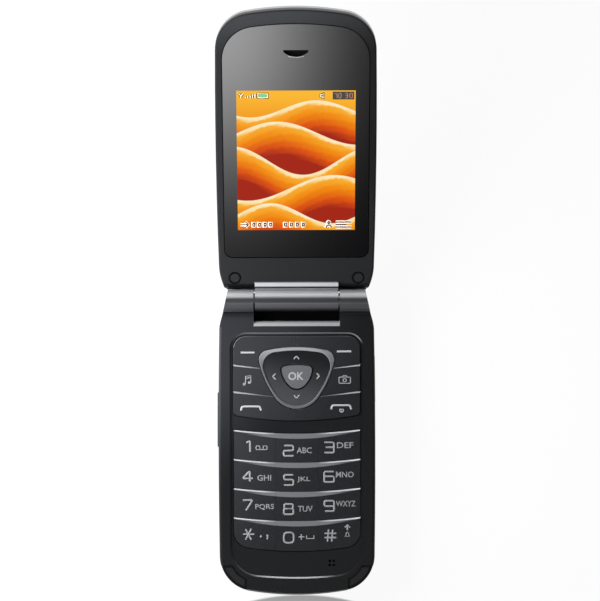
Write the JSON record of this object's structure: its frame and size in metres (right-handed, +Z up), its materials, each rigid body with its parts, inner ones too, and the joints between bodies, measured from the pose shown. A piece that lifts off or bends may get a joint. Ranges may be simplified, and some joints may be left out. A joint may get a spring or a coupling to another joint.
{
  "type": "flip phone",
  "caption": "Clamshell mobile phone lying open, with a keypad base, a display lid on a barrel hinge, and keys, rocker and covers that move.",
  "frame": {"origin": "point of the flat back on which the open phone lies, on its centreline and half way between the hinge axis and the base's far end", "axes": "+Z up out of the keypad, +Y towards the hinge and the lid, +X to the right of a person using it"},
  "size_m": [0.0487, 0.1773, 0.0404],
  "materials": {
    "cover_plastic": "dark satin paint",
    "case_plastic": "silver painted, satin gloss",
    "lid_frame_plastic": "dark satin paint",
    "key_plastic": "dark, fine grain",
    "nav_metal": "satin plated ring",
    "ok_plastic": "grey, fine grain",
    "window_plastic": "clear acrylic printed dark behind",
    "display_glass": "lit colour display",
    "rubber": "dull",
    "steel": "plain",
    "gold_board": "solder-masked laminate",
    "film": "amber polyimide film",
    "silicone": "translucent",
    "battery_wrap": "wrapped cell, bare of print",
    "black_plastic": "moulded",
    "mesh_metal": "black woven mesh",
    "lens_glass": "dark camera glass"
  },
  "bodies": {
    "base": {"base_front_cover": "cover_plastic", "base_rear_case": "case_plastic", "corner_bumpers": "rubber", "main_board": "gold_board", "key_domes": "steel", "keypad_mat": "silicone", "battery": "battery_wrap", "battery_contacts": "black_plastic", "sim_holder": "steel", "shield_cans": "steel", "loudspeaker": "black_plastic", "vibration_motor": "steel", "microphone": "steel", "charging_socket": "steel", "antenna_carrier": "black_plastic", "base_screws": "steel", "hinge_cam": "steel", "hinge_pin": "steel"},
    "battery_cover": {"battery_cover": "case_plastic"},
    "port_cover": {"port_cover": "cover_plastic"},
    "volume_key": {"volume_key": "black_plastic"},
    "nav_rocker": {"nav_rocker": "black_plastic"},
    "nav_key": {"nav_rim": "nav_metal", "nav_pad": "key_plastic"},
    "ok_key": {"ok_key": "ok_plastic"},
    "lid": {"lid_inner_frame": "lid_frame_plastic", "lid_outer_cover": "case_plastic", "display_window": "window_plastic", "display_panel": "display_glass", "display_frame": "steel", "lid_board": "gold_board", "earpiece": "black_plastic", "earpiece_mesh": "mesh_metal", "lid_screw_caps": "rubber", "lid_screws": "steel", "camera_module": "black_plastic", "camera_window": "lens_glass", "lid_magnet": "steel", "hinge_module": "steel", "display_flex": "film"},
    "key_1": {"key_1": "key_plastic"},
    "key_2": {"key_2": "key_plastic"},
    "key_3": {"key_3": "key_plastic"},
    "key_4": {"key_4": "key_plastic"},
    "key_5": {"key_5": "key_plastic"},
    "key_6": {"key_6": "key_plastic"},
    "key_7": {"key_7": "key_plastic"},
    "key_8": {"key_8": "key_plastic"},
    "key_9": {"key_9": "key_plastic"},
    "key_star": {"key_star": "key_plastic"},
    "key_0": {"key_0": "key_plastic"},
    "key_hash": {"key_hash": "key_plastic"},
    "key_soft_left": {"key_soft_left": "key_plastic"},
    "key_soft_right": {"key_soft_right": "key_plastic"},
    "key_music": {"key_music": "key_plastic"},
    "key_camera": {"key_camera": "key_plastic"},
    "key_send": {"key_send": "key_plastic"},
    "key_end": {"key_end": "key_plastic"}
  },
  "joints": [
    {"name": "lid_hinge", "type": "hinge", "parent": "base", "child": "lid", "pos_m": [0, 0.0452, 0.0098], "axis": [1, 0, 0], "range_deg": [0, 160]},
    {"name": "key_1_press", "type": "slide", "parent": "base", "child": "key_1", "axis": [0, 0, -1], "range_m": [0, 0.00025], "stiffness_N_per_m": 6000},
    {"name": "key_2_press", "type": "slide", "parent": "base", "child": "key_2", "axis": [0, 0, -1], "range_m": [0, 0.00025], "stiffness_N_per_m": 6000},
    {"name": "key_3_press", "type": "slide", "parent": "base", "child": "key_3", "axis": [0, 0, -1], "range_m": [0, 0.00025], "stiffness_N_per_m": 6000},
    {"name": "key_4_press", "type": "slide", "parent": "base", "child": "key_4", "axis": [0, 0, -1], "range_m": [0, 0.00025], "stiffness_N_per_m": 6000},
    {"name": "key_5_press", "type": "slide", "parent": "base", "child": "key_5", "axis": [0, 0, -1], "range_m": [0, 0.00025], "stiffness_N_per_m": 6000},
    {"name": "key_6_press", "type": "slide", "parent": "base", "child": "key_6", "axis": [0, 0, -1], "range_m": [0, 0.00025], "stiffness_N_per_m": 6000},
    {"name": "key_7_press", "type": "slide", "parent": "base", "child": "key_7", "axis": [0, 0, -1], "range_m": [0, 0.00025], "stiffness_N_per_m": 6000},
    {"name": "key_8_press", "type": "slide", "parent": "base", "child": "key_8", "axis": [0, 0, -1], "range_m": [0, 0.00025], "stiffness_N_per_m": 6000},
    {"name": "key_9_press", "type": "slide", "parent": "base", "child": "key_9", "axis": [0, 0, -1], "range_m": [0, 0.00025], "stiffness_N_per_m": 6000},
    {"name": "key_star_press", "type": "slide", "parent": "base", "child": "key_star", "axis": [0, 0, -1], "range_m": [0, 0.00025], "stiffness_N_per_m": 6000},
    {"name": "key_0_press", "type": "slide", "parent": "base", "child": "key_0", "axis": [0, 0, -1], "range_m": [0, 0.00025], "stiffness_N_per_m": 6000},
    {"name": "key_hash_press", "type": "slide", "parent": "base", "child": "key_hash", "axis": [0, 0, -1], "range_m": [0, 0.00025], "stiffness_N_per_m": 6000},
    {"name": "key_soft_left_press", "type": "slide", "parent": "base", "child": "key_soft_left", "axis": [0, 0, -1], "range_m": [0, 0.00025], "stiffness_N_per_m": 6000},
    {"name": "key_soft_right_press", "type": "slide", "parent": "base", "child": "key_soft_right", "axis": [0, 0, -1], "range_m": [0, 0.00025], "stiffness_N_per_m": 6000},
    {"name": "key_music_press", "type": "slide", "parent": "base", "child": "key_music", "axis": [0, 0, -1], "range_m": [0, 0.00025], "stiffness_N_per_m": 6000},
    {"name": "key_camera_press", "type": "slide", "parent": "base", "child": "key_camera", "axis": [0, 0, -1], "range_m": [0, 0.00025], "stiffness_N_per_m": 6000},
    {"name": "key_send_press", "type": "slide", "parent": "base", "child": "key_send", "axis": [0, 0, -1], "range_m": [0, 0.00025], "stiffness_N_per_m": 6000},
    {"name": "key_end_press", "type": "slide", "parent": "base", "child": "key_end", "axis": [0, 0, -1], "range_m": [0, 0.00025], "stiffness_N_per_m": 6000},
    {"name": "ok_key_press", "type": "slide", "parent": "base", "child": "ok_key", "axis": [0, 0, -1], "range_m": [0, 0.00025], "stiffness_N_per_m": 6000},
    {"name": "nav_up_down", "type": "hinge", "parent": "base", "child": "nav_rocker", "pos_m": [0, 0.0219, 0.0083], "axis": [1, 0, 0], "range_deg": [-1.2, 1.2], "stiffness_Nm_per_rad": 0.45},
    {"name": "nav_left_right", "type": "hinge", "parent": "nav_rocker", "child": "nav_key", "pos_m": [0, 0.0219, 0.0083], "axis": [0, 1, 0], "range_deg": [-1.2, 1.2], "stiffness_Nm_per_rad": 0.45},
    {"name": "volume_rock", "type": "hinge", "parent": "base", "child": "volume_key", "pos_m": [-0.0226, 0.0086, 0.00605], "axis": [0, 0, 1], "range_deg": [-1.2, 1.2], "stiffness_Nm_per_rad": 0.35},
    {"name": "battery_cover_slide", "type": "slide", "parent": "base", "child": "battery_cover", "axis": [0, -1, 0], "range_m": [0, 0.006]},
    {"name": "port_cover_swing", "type": "hinge", "parent": "base", "child": "port_cover", "pos_m": [0.0242, 0.0139, 0.0051], "axis": [0, 0, -1], "range_deg": [0, 100]}
  ]
}
